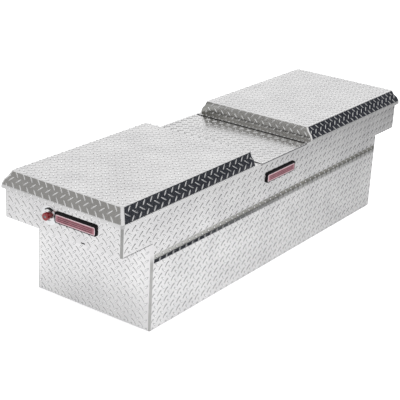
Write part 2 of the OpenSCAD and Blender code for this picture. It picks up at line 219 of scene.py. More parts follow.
MILL_METALLIC = 0.55
BADGE_SHINE = 0.15
HARDWARE_EASE = 0.5 * MM
EASED_FOLD = math.radians(50)
STUDIO_LEVEL = 1.0
FLOOR_TONE = (0.90, 0.90, 0.905)
FLOOR_PLACE = Vector((-0.7, 0, -0.0005))
FLOOR_NEAR = 0.4
FLOOR_FAR = 3.0
FLOOR_DIM = (0.21, 0.72)
FLOOR_GLOW = 0.55
FLOOR_HALF = 12.0
FLOOR_ROUGHNESS = 0.9
SOFTBOX_SIZE = (3.0, 2.0)
SOFTBOX_POWER = 40
SOFTBOX_PLACE = Vector((-0.8, -0.6, 3.2))


# Noises of the finishes, each (scale, detail)
METAL_CLOUD = (9.0, 4.0)
METAL_GRAIN = (160.0, 3.0)
SHEET_WAVE = (3.2, 1.0)
PLASTIC_CLOUD = (60.0, 3.0)
PLASTIC_GRAIN = (900.0, 2.0)
COAT_ROUGHNESS = 0.08
USEFUL_NOISE = (0.3, 0.7)
WAVE = 0.0008
ROLLED = (1, 9, 1)
TURNED = (1, 12, 12)


# ---- materials ----

def new_material(name):
    material = bpy.data.materials.new(name)
    material.use_nodes = True
    tree = material.node_tree
    shader = tree.nodes["Principled BSDF"]
    return material, tree, shader


def link(tree, source, target):
    tree.links.new(source, target)


def noise(tree, scale, detail, stretch=(1, 1, 1)):
    """A noise texture in the piece's own space; its result is a grey value."""
    place = tree.nodes.new("ShaderNodeTexCoord")
    mapping = tree.nodes.new("ShaderNodeMapping")
    mapping.inputs["Scale"].default_value = stretch
    texture = tree.nodes.new("ShaderNodeTexNoise")
    texture.inputs["Scale"].default_value = scale
    texture.inputs["Detail"].default_value = detail
    link(tree, place.outputs["Object"], mapping.inputs["Vector"])
    link(tree, mapping.outputs["Vector"], texture.inputs["Vector"])
    return texture.outputs["Fac"]


def graded(tree, value, low_value, high_value):
    """Maps a noise value's useful middle to a range."""
    node = tree.nodes.new("ShaderNodeMapRange")
    node.inputs["From Min"].default_value = USEFUL_NOISE[0]
    node.inputs["From Max"].default_value = USEFUL_NOISE[1]
    node.inputs["To Min"].default_value = low_value
    node.inputs["To Max"].default_value = high_value
    link(tree, value, node.inputs["Value"])
    return node.outputs["Result"]


def tinted(tree, value, dark, light):
    node = tree.nodes.new("ShaderNodeMix")
    node.data_type = "RGBA"
    node.inputs["A"].default_value = (*dark, 1)
    node.inputs["B"].default_value = (*light, 1)
    link(tree, graded(tree, value, 0, 1), node.inputs["Factor"])
    return node.outputs["Result"]


def bumped(tree, shader, heights):
    """Stacks bumps, each a (value, distance) pair, into the shader's normal."""
    normal = None
    for value, distance in heights:
        bump = tree.nodes.new("ShaderNodeBump")
        bump.inputs["Strength"].default_value = 1.0
        bump.inputs["Distance"].default_value = distance
        link(tree, value, bump.inputs["Height"])
        if normal is not None:
            link(tree, normal, bump.inputs["Normal"])
        normal = bump.outputs["Normal"]
    link(tree, normal, shader.inputs["Normal"])


def metal(name, dark, light, rough, grain, wave=0.0, stretch=(1, 1, 1)):
    """Bare or plated metal: cloudy tone and roughness, a fine grain, and a slow waviness in the sheet."""
    material, tree, shader = new_material(name)
    shader.inputs["Metallic"].default_value = 1.0
    cloud = noise(tree, *METAL_CLOUD)
    link(tree, tinted(tree, cloud, dark, light), shader.inputs["Base Color"])
    fine = noise(tree, *METAL_GRAIN, stretch)
    link(tree, graded(tree, fine, *rough), shader.inputs["Roughness"])
    heights = [(fine, grain)]
    if wave:
        heights.append((noise(tree, *SHEET_WAVE), wave))
    bumped(tree, shader, heights)
    return material


def plastic(name, dark, light, rough, coat=0.0, grain=0.00002):
    material, tree, shader = new_material(name)
    cloud = noise(tree, *PLASTIC_CLOUD)
    link(tree, tinted(tree, cloud, dark, light), shader.inputs["Base Color"])
    fine = noise(tree, *PLASTIC_GRAIN)
    link(tree, graded(tree, fine, *rough), shader.inputs["Roughness"])
    shader.inputs["Coat Weight"].default_value = coat
    shader.inputs["Coat Roughness"].default_value = COAT_ROUGHNESS
    bumped(tree, shader, [(fine, grain)])
    return material


MATERIALS = {
    "tread_plate": metal("tread_plate", (0.64, 0.635, 0.64), (0.74, 0.735, 0.735), (0.14, 0.24), 0.00002,
                         WAVE),
    # Painted light: the lids' skirt strips are a paler copy of the plate, lightening the shade that lies on
    # them.
    "skirt": metal("skirt", (0.82, 0.815, 0.815), (0.91, 0.905, 0.905), (0.14, 0.24), 0.00002, WAVE),
    # Lug metals carry painted light: crowns are paler than the plate as a painted highlight, flanks darker as
    # painted shade.
    "wall_lug": metal("wall_lug", (0.80, 0.80, 0.81), (0.88, 0.88, 0.885), (0.12, 0.22), 0.00002),
    "wall_flank_painted_shade": metal("wall_flank_painted_shade", (0.24, 0.24, 0.24), (0.34, 0.34, 0.335), (0.25, 0.40), 0.00002),
    # The key lug is the crown metal of the lid and centre lugs, a painted highlight.
    "lug": metal("lug_crown_painted_highlight", (0.92, 0.92, 0.93), (0.99, 0.99, 0.995), (0.10, 0.20), 0.00002),
    "lug_flank_painted_shade": metal("lug_flank_painted_shade", (0.32, 0.32, 0.32), (0.44, 0.44, 0.435), (0.25, 0.40), 0.00002),
    # Painted shade, fainter: paler flank metal for one lug set on the lid tops, also used on the wing edges.
    "faint_painted_shade": metal("faint_painted_shade", (0.54, 0.54, 0.54), (0.64, 0.64, 0.64), (0.20, 0.35), 0.00002),
    # Painted shade: the hinge leaves and pin are near black for the shade in the gap along the hinge line.
    "hinge_steel": metal("hinge_steel", (0.020, 0.020, 0.021), (0.045, 0.045, 0.046), (0.35, 0.5), 0.00003),
    # Painted shade: the lids' inner walls, painted darker towards the rear by a fade below.
    "lid_end": metal("lid_end", (0.64, 0.635, 0.62), (0.74, 0.735, 0.72), (0.14, 0.24), 0.00002, WAVE),
    # Painted shade: darker metal along the corner bends of the wings and the tub, for their dark reflection.
    "bend": metal("bend", (0.26, 0.26, 0.255), (0.40, 0.40, 0.39), (0.30, 0.45), 0.00005),
    "tub_bend": metal("tub_bend", (0.32, 0.32, 0.315), (0.46, 0.46, 0.45), (0.30, 0.45), 0.00005),
    # Painted shade: dark olive-grey metal on the groove's upper flank, for the dark reflection there; it
    # turns paler towards the left.
    "upper_flank_painted_shade": metal("upper_flank_painted_shade", (0.17, 0.165, 0.145), (0.25, 0.245, 0.215), (0.30, 0.45), 0.00005),
    "flank_low": metal("flank_low", (0.62, 0.62, 0.61), (0.74, 0.74, 0.73), (0.16, 0.28), 0.00003),
    "plain_sheet": metal("plain_sheet", (0.70, 0.71, 0.72), (0.80, 0.81, 0.82), (0.28, 0.42), 0.00004, WAVE,
                         ROLLED),
    "mill_back": metal("mill_back", (0.58, 0.585, 0.59), (0.70, 0.70, 0.705), (0.40, 0.55), 0.00004, WAVE,
                       ROLLED),
    "zinc_steel": metal("zinc_steel", (0.55, 0.56, 0.57), (0.70, 0.70, 0.68), (0.30, 0.45), 0.00003),
    "lock_ring": metal("lock_ring", (0.74, 0.75, 0.76), (0.82, 0.82, 0.83), (0.22, 0.32), 0.00001),
    "key_metal": metal("key_metal", (0.24, 0.24, 0.25), (0.34, 0.34, 0.35), (0.22, 0.32), 0.00001, 0.0,
                       TURNED),
    "rod_steel": metal("rod_steel", (0.72, 0.72, 0.73), (0.80, 0.80, 0.81), (0.08, 0.14), 0.00001),
    # Black rubber for the seals; the arcs over the locks use it as painted shade.
    "seal_rubber": plastic("seal_rubber", (0.012, 0.012, 0.013), (0.035, 0.035, 0.036), (0.62, 0.8),
                           grain=0.00010),
    "black_tube": plastic("black_tube", (0.014, 0.014, 0.016), (0.030, 0.030, 0.032), (0.28, 0.4), 0.2),
    "badge_black": plastic("badge_black", (0.002, 0.0015, 0.002), (0.006, 0.004, 0.006), (0.45, 0.6), 0.0),
    "badge_red": plastic("badge_red", (0.24, 0.085, 0.11), (0.33, 0.12, 0.15), (0.35, 0.5), 0.1),
    "badge_rib": plastic("badge_rib", (0.085, 0.018, 0.03), (0.13, 0.03, 0.045), (0.4, 0.5), 0.0),
    "badge_line": plastic("badge_line", (0.55, 0.42, 0.45), (0.64, 0.50, 0.53), (0.3, 0.4), 0.3),
    "red_button": plastic("red_button", (0.16, 0.005, 0.009), (0.24, 0.008, 0.014), (0.2, 0.3), 0.3),
}


def shader_of(name):
    return MATERIALS[name].node_tree.nodes["Principled BSDF"]


shader_of("mill_back").inputs["Metallic"].default_value = MILL_METALLIC
shader_of("badge_black").inputs["Specular IOR Level"].default_value = BADGE_SHINE


def fade(name, socket, axis, start, end, other):
    """Blends a material's input to another value between two places along one axis of the piece."""
    tree = MATERIALS[name].node_tree
    target = shader_of(name).inputs[socket]
    place = tree.nodes.new("ShaderNodeTexCoord")
    split = tree.nodes.new("ShaderNodeSeparateXYZ")
    share = tree.nodes.new("ShaderNodeMapRange")
    share.inputs["From Min"].default_value = start
    share.inputs["From Max"].default_value = end
    link(tree, place.outputs["Object"], split.inputs["Vector"])
    link(tree, split.outputs[axis], share.inputs["Value"])
    mix = tree.nodes.new("ShaderNodeMix")
    first = target.links[0].from_socket
    if isinstance(other, tuple):
        mix.data_type = "RGBA"
        mix.inputs["B"].default_value = (*other, 1)
    else:
        mix.data_type = "FLOAT"
        mix.inputs["B"].default_value = other
    link(tree, share.outputs["Result"], mix.inputs["Factor"])
    link(tree, first, mix.inputs["A"])
    link(tree, mix.outputs["Result"], target)


# Material, input, axis, the places where the change starts and is full, and the value it changes to
FADES = [
    # The colour rows grade painted shade: the tub corners' shade fades out up across the groove, the groove's
    # upper-flank shade turns paler towards the left, and the lids' inner walls grow darker towards the rear.
    # The roughness row changes only gloss.
    ("tub_bend", "Base Color", "Z", GROOVE_Z, GROOVE_Z + GROOVE_LOW + GROOVE_HIGH, (0.74, 0.735, 0.74)),
    ("upper_flank_painted_shade", "Base Color", "X", 0.1, -0.7, (0.50, 0.50, 0.48)),
    ("flank_low", "Roughness", "X", -0.5, 0.2, 0.85),
    ("lid_end", "Base Color", "Y", 0.12, 0.22, (0.36, 0.36, 0.34)),
]
for row in FADES:
    fade(*row)


# ---- mesh tools ----

def make_object(name, points, faces, materials, smooth=False, indices=None):
    mesh = bpy.data.meshes.new(name)
    mesh.from_pydata([tuple(p) for p in points], [], [tuple(f) for f in faces])
    for m in materials:
        mesh.materials.append(MATERIALS[m])
    if indices is not None:
        mesh.polygons.foreach_set("material_index", indices)
    mesh.polygons.foreach_set("use_smooth", [smooth] * len(mesh.polygons))
    mesh.update()
    obj = bpy.data.objects.new(name, mesh)
    bpy.context.scene.collection.objects.link(obj)
    return obj


def outline_points(corners, radii):
    """A polyline whose inner corners are rounded; radii has one value for each corner."""
    result = []
    for i, corner in enumerate(corners):
        p = np.array(corner, float)
        if i in (0, len(corners) - 1) or radii[i] <= 0:
            result.append(p)
            continue
        a = np.array(corners[i - 1], float) - p
        b = np.array(corners[i + 1], float) - p
        la, lb = np.linalg.norm(a), np.linalg.norm(b)
        a, b = a / la, b / lb
        half = math.acos(max(-1, min(1, float(a @ b)))) / 2
        cut = min(radii[i] / math.tan(half), LONGEST_CUT * la, LONGEST_CUT * lb)
        start, end = p + a * cut, p + b * cut
        for k in range(ARC_STEPS + 1):
            t = k / ARC_STEPS
            result.append((1 - t) ** 2 * start + 2 * t * (1 - t) * p + t * t * end)
    return np.array(result)


class Track:
    """A polyline measured by its length, with a smooth outward normal along it."""

    def __init__(self, points, outward):
        self.points = np.array(points, float)
        steps = np.diff(self.points, axis=0)
        lengths = np.linalg.norm(steps, axis=1)
        self.at = np.concatenate([[0], np.cumsum(lengths)])
        self.length = float(self.at[-1])
        tangents = steps / lengths[:, None]
        normals = np.stack([tangents[:, 1], -tangents[:, 0]], 1) * outward
        ends = np.vstack([normals[:1], normals, normals[-1:]])
        mean = ends[:-1] + ends[1:]
        self.normals = mean / np.linalg.norm(mean, axis=1)[:, None]

    def point(self, d):
        return np.stack([np.interp(d, self.at, self.points[:, k]) for k in (0, 1)], -1)

    def normal(self, d):
        n = np.stack([np.interp(d, self.at, self.normals[:, k]) for k in (0, 1)], -1)
        return n / np.linalg.norm(n, axis=-1)[..., None]


# ---- raised lugs ----

def lug_form():
    """One lug: pointed in plan and domed in section. Each point is (share of length, share of width,
    share of height), and a height of None is the root under the sheet's surface."""
    points, faces = [], []
    for share_a, share_b, height in LUG_RINGS:
        for i in range(LUG_SIDES):
            angle = 2 * math.pi * i / LUG_SIDES
            c, s = math.cos(angle), math.sin(angle)
            points.append((0.5 * c * share_a, 0.5 * s * abs(s) ** LUG_BLUNTNESS * share_b, height))
    for ring in range(len(LUG_RINGS) - 1):
        for i in range(LUG_SIDES):
            j = (i + 1) % LUG_SIDES
            a, b = ring * LUG_SIDES, (ring + 1) * LUG_SIDES
            faces.append((a + i, a + j, b + j, b + i))
    faces.append(tuple(len(points) - LUG_SIDES + i for i in range(LUG_SIDES)))
    return points, faces


def lug_lattice(span, pitch, phase):
    """Centres and leans of the two crossing sets of lugs over ((s0, s1), (t0, t1)). The phase is the
    share of each pitch by which they are moved."""
    (s0, s1), (t0, t1) = span
    centres, leans = [], []
    for lean, shift in ((1, 0.0), (-1, 0.5)):
        i = np.arange(math.floor(s0 / pitch[0]) - 1, math.ceil(s1 / pitch[0]) + 2) + shift
        j = np.arange(math.floor(t0 / pitch[1]) - 1, math.ceil(t1 / pitch[1]) + 2) + shift
        s, t = np.meshgrid((i + phase[0]) * pitch[0], (j + phase[1]) * pitch[1], indexing="ij")
        centres.append(np.stack([s.ravel(), t.ravel()], 1))
        leans.append(np.full(s.size, lean))
    return np.vstack(centres), np.concatenate(leans)


def lay_lugs(span, pitch, valid, place, phase=(0.0, 0.0)):
    """Lays lugs on one sheet and returns their points, faces and leans. valid says where the flattened
    sheet is, and place turns its (s, t) into points and normals. A lug that meets an edge or a hole is cut to
    its longest free run. Flank faces come first, lug by lug."""
    centre, lean = lug_lattice(span, pitch, phase)
    diagonal = math.hypot(*pitch)
    along = np.stack([np.full(len(lean), pitch[0] / diagonal), lean * pitch[1] / diagonal], 1)
    across = np.stack([-along[:, 1], along[:, 0]], 1)
    samples = np.linspace(-0.5, 0.5, LUG_SAMPLES) * LUG_LENGTH
    tested = centre[:, None, :] + samples[None, :, None] * along[:, None, :]
    inside = valid(tested[..., 0], tested[..., 1])
    run = np.zeros(inside.shape, int)
    run[:, 0] = inside[:, 0]
    for k in range(1, len(samples)):
        run[:, k] = (run[:, k - 1] + 1) * inside[:, k]
    last = run.argmax(1)
    first = np.maximum(last - run.max(1) + 1, 0)
    length = np.where(run.max(1) > 1, samples[last] - samples[first], 0)
    keep = length > SHORTEST_LUG
    centre = (centre + along * ((samples[first] + samples[last]) / 2)[:, None])[keep]
    along, across, length, lean = along[keep], across[keep], length[keep], lean[keep]
    form, faces = lug_form()
    a = np.array([p[0] for p in form])
    b = np.array([p[1] for p in form])
    h = np.array([-LUG_ROOT if p[2] is None else p[2] * LUG_HEIGHT for p in form])
    flat = (centre[:, None, :] + (a[None, :] * length[:, None])[..., None] * along[:, None, :]
            + (b * LUG_WIDTH)[None, :, None] * across[:, None, :])
    points, normals = place(flat[..., 0], flat[..., 1])
    points = points + normals * h[None, :, None]
    base = np.arange(len(centre))[:, None, None] * len(form)
    result = []
    for chosen in (faces[:LUG_SIDES], faces[LUG_SIDES:-1], faces[-1:]):
        result += [tuple(f) for f in (np.array(chosen)[None] + base).reshape(-1, len(chosen[0]))]
    return points.reshape(-1, 3), result, lean


def make_lugs(name, body, patches, crown="lug", flank="lug_flank_painted_shade"):
    """Makes one piece of several patches of lugs, with painted highlight on the crowns and painted shade on
    the flanks.
    On the lids' tops one of the two crossing sets has paler flanks, a fainter painted shade, so that set
    stands out less."""
    points, faces, kinds, count = [], [], [], 0
    for patch_points, patch_faces, leans in patches:
        points.append(patch_points)
        faces += [tuple(int(i) + count for i in f) for f in patch_faces]
        heights = patch_points[:, 2].reshape(len(leans), -1).mean(axis=1)
        # One set of lugs on the lid tops gets fainter painted shade on its flanks.
        faint_shade = (leans < 0) & (np.abs(heights - LID_TOP) < LUG_HEIGHT)
        kinds += np.repeat(np.where(faint_shade, 2, 1), LUG_SIDES).tolist()
        kinds += [0] * (len(patch_faces) - len(leans) * LUG_SIDES)
        count += len(patch_points)
    obj = make_object(name, np.vstack(points), faces, [crown, flank, "faint_painted_shade"], smooth=True,
                      indices=kinds)
    fix_normals(obj)
    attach(obj, body)


def thicken(obj):
    """Gives an open sheet its thickness, inwards, and marks its sharp edges."""
    fix_normals(obj)
    skin = obj.modifiers.new("thickness", "SOLIDIFY")
    skin.thickness = SHEET
    skin.offset = -1
    skin.use_even_offset = True
    solid = bpy.data.meshes.new_from_object(obj.evaluated_get(bpy.context.evaluated_depsgraph_get()))
    obj.modifiers.clear()
    obj.data = solid
    solid.set_sharp_from_angle(angle=SHARP_FOLD)


def fix_normals(obj):
    form = bmesh.new()
    form.from_mesh(obj.data)
    bmesh.ops.recalc_face_normals(form, faces=form.faces)
    form.to_mesh(obj.data)
    form.free()


# ---- walls ----

def covered(node, along_axis, s, z):
    """True where a node on a wall covers it, seen along the wall's normal."""
    lowest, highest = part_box(node)
    return ((s > lowest[along_axis] - EDGE) & (s < highest[along_axis] + EDGE)
            & (z > lowest.z - EDGE) & (z < highest.z + EDGE))


class Walls:
    """The flattened front wall, its two corner bends and the end walls beyond them. s is 0 at the middle of
    the front and grows to the right round the corner, and t is the height along the sheet."""

    def __init__(self, facing):
        self.facing = facing
        top = PANEL_Z - SHEET
        self.section = Track([(0, 0), (0, GROOVE_Z), (-GROOVE_DEPTH, GROOVE_Z + GROOVE_LOW),
                              (0, GROOVE_Z + GROOVE_LOW + GROOVE_HIGH), (0, top)], 1)
        self.groove = (self.section.at[1], self.section.at[3])
        self.rise = self.section.length - top
        self.wing_t = WING_Z + self.rise
        self.wall_t = WALL_TOP + self.rise
        self.arc = BEND_R * math.pi / 2

    def height(self, t):
        """Height of the plain parts beyond the groove's ends."""
        a, b = self.groove
        return np.interp(t, [0, a, b, self.section.length],
                         [0, a, b - self.rise, self.section.length - self.rise])

    def valid(self, s, t):
        reach = np.abs(s)
        lower_flat, upper_flat = TUB_L - BEND_R, BODY_L - BEND_R
        lower_end = lower_flat + self.arc + (2 * END_Y if self.facing < 0 else 0)
        upper_end = upper_flat + self.arc + (2 * END_Y if self.facing < 0 else 0)
        free = t > EDGE
        free &= np.where(t < self.wing_t, reach < lower_end, reach < upper_end)
        free &= (t < self.wall_t - EDGE) | ((reach < PANEL_X) & (t < self.section.length - EDGE))
        free &= ~((reach > lower_flat - EDGE) & (np.abs(t - self.wing_t) < EDGE))
        flat = np.where(t < self.wing_t, lower_flat, upper_flat)
        free &= ~((reach > flat) & (reach < flat + self.arc))
        in_groove = (t > self.groove[0] - EDGE) & (t < self.groove[1] + EDGE)
        free &= ~(in_groove & (np.abs(reach - lower_flat) < EDGE))
        z = self.height(t)
        if self.facing < 0:
            free &= ~covered("front_badge_frame", 0, s, z)
            y = -END_Y + reach - upper_flat - self.arc
            on_end = reach > upper_flat + self.arc
            for side in ("left", "right"):
                here = on_end & (s < 0 if side == "left" else s > 0)
                free &= ~(here & covered(f"{side}_badge_frame", 1, y, z))
            free &= ~(on_end & (np.hypot(y - LOCK.y, z - LOCK.z) < PLATE_R + EDGE))
            free &= ~(on_end & (np.abs(y - DRAIN_Y) < DRAIN_L) & (np.abs(z - WING_Z) < DRAIN_L))
        return free

    def place(self, s, t):
        upper = t.mean(axis=-1, keepdims=True) > self.wing_t
        half = np.where(upper, BODY_L, TUB_L)
        flat = half - BEND_R
        reach, sign = np.abs(s), np.sign(s)
        out, tilt = self.section.point(t), self.section.normal(t)
        z = self.height(t)
        turn = np.clip((reach - flat) / BEND_R, 0, math.pi / 2)
        run = np.maximum(reach - flat - self.arc, 0)
        plain = reach > flat
        x = np.where(plain, flat + BEND_R * np.sin(turn), reach)
        y = np.where(plain, -END_Y - BEND_R * np.cos(turn) + run, -(BODY_D + out[..., 0]))
        z = np.where(plain, z, out[..., 1])
        nx = np.where(plain, np.sin(turn), 0)
        ny = np.where(plain, -np.cos(turn), -tilt[..., 0])
        nz = np.where(plain, 0, tilt[..., 1])
        points = np.stack([sign * x, -self.facing * y, z], -1)
        return points, np.stack([sign * nx, -self.facing * ny, nz], -1)

    def lugs(self):
        """Two patches: the long wall, and the end walls where this one carries them."""
        def on_wall(s, t):
            return self.valid(s, t) & (np.abs(s) < np.where(t < self.wing_t, TUB_L, BODY_L) - BEND_R)

        def on_ends(s, t):
            return self.valid(s, t) & (np.abs(s) > np.where(t < self.wing_t, TUB_L, BODY_L) - BEND_R)
        reach = BODY_L + self.arc + 2 * END_Y
        span = ((-reach, reach), (0, self.section.length))
        return [lay_lugs(span, WALL_PITCH, on_wall, self.place),
                lay_lugs(span, END_PITCH, on_ends, self.place)]


def prism(name, section, x0, x1, material):
    """A solid of one (y, z) section, given anticlockwise as seen from +X, between two places along X."""
    count = len(section)
    points = [(x, y, z) for x in (x0, x1) for y, z in section]
    faces = [tuple(range(count))[::-1], tuple(range(count, 2 * count))]
    faces += [(i, (i + 1) % count, (i + 1) % count + count, i + count) for i in range(count)]
    obj = make_object(name, points, faces, [material], smooth=True)
    obj.data.set_sharp_from_angle(angle=SHARP_FOLD)
    return obj


def make_wing_edges():
    """A thin rounded line along the lower edge of each wing's front and rear.

    The photo shows a faint line there. Whether it is a weld or the bare edge of the sheet is a guess.
    """
    angles = [2 * math.pi * i / EDGE_SIDES for i in range(EDGE_SIDES)]
    section = [(EDGE_R * math.cos(angle), EDGE_R * math.sin(angle)) for angle in angles]
    for side, sign in SIDES.items():
        for place, y in (("front", -BODY_D), ("rear", BODY_D)):
            ring = [(y + dy, WING_Z + dz) for dy, dz in section]
            # The rod's grey is a faint painted shade for the shadow line along the wing's lower edge.
            edge = prism(f"{side}_{place}_wing_edge", ring, sign * (TUB_L + EDGE_R), sign * (BODY_L - BEND_R),
                         "faint_painted_shade")
            fix_normals(edge)
            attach(edge, "root")


class CentreSheet:
    """The fixed panel between the lids, whose front and rear edges are bent down into lips."""

    def __init__(self):
        foot = PANEL_Z - PANEL_LIP
        self.depth = LID_D
        self.path = outline_points([(-self.depth, foot), (-self.depth, PANEL_Z), (self.depth, PANEL_Z),
                                    (self.depth, foot)], [0, PANEL_BEND, PANEL_BEND, 0])
        self.under = outline_points([(-self.depth + SHEET, foot), (-self.depth + SHEET, PANEL_Z - SHEET),
                                     (self.depth - SHEET, PANEL_Z - SHEET), (self.depth - SHEET, foot)],
                                    [0, PANEL_BEND - SHEET, PANEL_BEND - SHEET, 0])
        self.track = Track(self.path, -1)

    def valid(self, s, t):
        return (np.abs(s) < PANEL_X - EDGE) & (np.abs(t) < self.track.length / 2 - PANEL_LIP)

    def place(self, s, t):
        point = self.track.point(t + self.track.length / 2)
        normal = self.track.normal(t + self.track.length / 2)
        return (np.stack([s, point[..., 0], point[..., 1]], -1),
                np.stack([np.zeros_like(s), normal[..., 0], normal[..., 1]], -1))

    def make(self):
        section = [tuple(p) for p in self.under] + [tuple(p) for p in self.path[::-1]]
        panel = prism("centre_sheet", section, -PANEL_X, PANEL_X, "tread_plate")
        fix_normals(panel)
        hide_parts("centre_panel")
        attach(panel, "root")
        half = self.track.length / 2
        span = ((-PANEL_X, PANEL_X), (-half, half))
        make_lugs("centre_lugs", "root", [lay_lugs(span, TOP_PITCH, self.valid, self.place)])


# ---- lids ----

class LidSheet:
    """A right lid's skin. Its length runs from the hinge flange up the inner wall, over the top and down
    the outer shoulder, and its width runs over the top and down the front and rear shoulders."""

    def __init__(self):
        drop = LID_TOP - LID_FOOT
        corners = [(-FLAT_LEAD, LID_TOP)] + [(u * SHOULDER_W, LID_TOP - h * drop) for u, h in SHOULDER]
        self.shoulder = Track(outline_points(corners, SHOULDER_ROUNDS), -1)
        inner = [(LID_EDGE, PANEL_Z), (WALL_X, PANEL_Z), (WALL_X, LID_TOP), (TOP_X, LID_TOP)]
        self.inner = Track(outline_points(inner, [0, FOOT_ROUND, WALL_ROUND, 0]), -1)
        self.top_s = self.inner.length

    def over(self, d):
        """Outward reach, height and normal at a distance past the top's edge, or before it if negative."""
        out = self.shoulder.point(d + FLAT_LEAD)
        normal = self.shoulder.normal(d + FLAT_LEAD)
        before = d < -FLAT_LEAD
        reach = np.where(before, d, out[..., 0])
        height = np.where(before, LID_TOP, out[..., 1])
        return reach, height, np.where(before, 0, normal[..., 0]), np.where(before, 1, normal[..., 1])

    def half_width(self, height):
        """Half of the lid's width at a height."""
        path = self.shoulder.points[::-1]
        return TOP_Y + np.interp(height, path[:, 1], path[:, 0])

    def valid(self, s, t):
        past_x, past_y = s - self.top_s, np.abs(t) - TOP_Y
        reach_x, reach_y = self.over(past_x)[0], self.over(past_y)[0]
        length = self.shoulder.length - FLAT_LEAD - EDGE
        point = self.inner.point(s)
        on_top = point[..., 1] > LID_TOP - TINY
        on_flange = point[..., 0] < WALL_X - EDGE
        top = on_top & (past_x < np.maximum(reach_y, 0) - np.where(past_y > 0, EDGE, -length))
        top &= (past_y < np.maximum(reach_x, 0) - np.where(past_x > 0, EDGE, -length))
        top &= (past_x < length) & (past_y < length)
        top &= point[..., 0] > WALL_X + np.where(past_y > 0, INNER_ROUND, EDGE)
        wall = ~on_top & ~on_flange & (np.abs(t) < self.half_width(point[..., 1]) - INNER_ROUND)
        wall &= point[..., 1] > PANEL_Z + EDGE
        flange = on_flange & (np.abs(t) < FLANGE_Y - EDGE) & (point[..., 0] > LID_EDGE + EDGE)
        return top | wall | flange

    def place(self, s, t):
        past_x, past_y = s - self.top_s, np.abs(t) - TOP_Y
        inner, inner_n = self.inner.point(s), self.inner.normal(s)
        rx, hx, nx, nzx = self.over(past_x)
        ry, hy, ny, nzy = self.over(past_y)
        sign = np.sign(t)
        along = past_x > np.maximum(past_y, -FLAT_LEAD)
        side = ~along & (past_y > -FLAT_LEAD) & (inner[..., 1] > LID_TOP - TINY)
        x = np.where(along, TOP_X + rx, np.where(side, TOP_X + past_x, inner[..., 0]))
        y = np.where(side, sign * (TOP_Y + ry), t)
        z = np.where(along, hx, np.where(side, hy, inner[..., 1]))
        normal_x = np.where(along, nx, np.where(side, 0, inner_n[..., 0]))
        normal_y = np.where(side, sign * ny, 0)
        normal_z = np.where(along, nzx, np.where(side, nzy, inner_n[..., 1]))
        return np.stack([x, y, z], -1), np.stack([normal_x, normal_y, normal_z], -1)

    def lugs(self, side):
        """The lid's lugs, with one row of each set EDGE_ROW past the top's outer and front edges."""
        reach = TOP_Y + self.shoulder.length
        phase = ((self.top_s + EDGE_ROW) / TOP_PITCH[0] % 1, -(TOP_Y + EDGE_ROW) / TOP_PITCH[1] % 1)
        points, faces, lean = lay_lugs(((0, self.top_s + self.shoulder.length), (-reach, reach)), TOP_PITCH,
                                       self.valid, self.place, phase)
        return points * np.array([side, 1, 1]), faces, lean * side

    def ring(self, out, height):
        """The skin's outline at one height, anticlockwise from above, with the inner wall last."""
        sunk = max(0.0, WALL_ROUND - (LID_TOP - height))
        inner_x = WALL_X + WALL_ROUND - math.sqrt(max(WALL_ROUND ** 2 - sunk ** 2, 0))
        if out < -FLAT_LEAD + TINY:
            inner_x = WALL_X + FLAT_LEAD
        x1, y1 = TOP_X + out, TOP_Y + out
        points = []
        for cx, cy, start, r in ((inner_x, -y1, 180, INNER_ROUND), (x1, -y1, 270, OUTER_ROUND),
                                 (x1, y1, 0, OUTER_ROUND), (inner_x, y1, 90, INNER_ROUND)):
            cx += r if start in (90, 180) else -r
            cy += r if cy < 0 else -r
            for k in range(CORNER_STEPS + 1):
                angle = math.radians(start + 90 * k / CORNER_STEPS)
                points.append((cx + r * math.cos(angle), cy + r * math.sin(angle), height))
        return points

    def levels(self):
        """The shoulder's points, with one more where the inner wall ends."""
        levels = [tuple(p) for p in self.shoulder.points]
        for i in range(len(levels) - 1):
            a, b = levels[i], levels[i + 1]
            if a[1] > PANEL_Z > b[1]:
                share = (a[1] - PANEL_Z) / (a[1] - b[1])
                return levels[:i + 1] + [(a[0] + share * (b[0] - a[0]), PANEL_Z)] + levels[i + 1:]
        return levels

    def shell(self, name, side):
        """The skin: top, shoulders and skirts, and the inner wall."""
        rings = [self.ring(out, height) for out, height in self.levels()]
        count = len(rings[0])
        points = [(side * x, y, z) for ring in rings for x, y, z in ring]
        faces = [tuple(range(count))]
        for k in range(len(rings) - 1):
            for i in range(count):
                j = (i + 1) % count
                if j == 0 and rings[k][0][2] < PANEL_Z + TINY:
                    continue
                a, b = k * count, (k + 1) * count
                faces.append((a + i, a + j, b + j, b + i))
        obj = make_object(name, points, faces, ["tread_plate", "lid_end", "skirt"], smooth=True)
        thicken(obj)
        # Inner-wall faces take the lid_end metal with its painted shade, and skirt faces a paler copy of the
        # plate as painted light.
        for face in obj.data.polygons:
            upright = abs(face.normal.x) > UPRIGHT and abs(abs(face.center.x) - WALL_X) < MM
            on_skirt = face.center.z < LID_FOOT + SKIRT
            face.material_index = 1 if upright else 2 if on_skirt else 0
        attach(obj, f"{name.split('_')[0]}_lid")
        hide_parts(f"{name.split('_')[0]}_lid_skin")

    def flange(self, name, side):
        """The strip that runs from the inner wall's foot to the hinge."""
        section = [(-FLANGE_Y, PANEL_Z - SHEET), (FLANGE_Y, PANEL_Z - SHEET), (FLANGE_Y, PANEL_Z),
                   (-FLANGE_Y, PANEL_Z)]
        obj = prism(name, section, side * LID_EDGE, side * (WALL_X + SHEET), "tread_plate")
        fix_normals(obj)
        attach(obj, f"{name.split('_')[0]}_lid")
        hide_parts(f"{name.split('_')[0]}_lid_skin")


def make_lids():
    sheet = LidSheet()
    for side, sign in SIDES.items():
        sheet.shell(f"{side}_lid_shell", sign)
        sheet.flange(f"{side}_lid_flange", sign)
        make_lugs(f"{side}_lid_lugs", f"{side}_lid", [sheet.lugs(sign)])


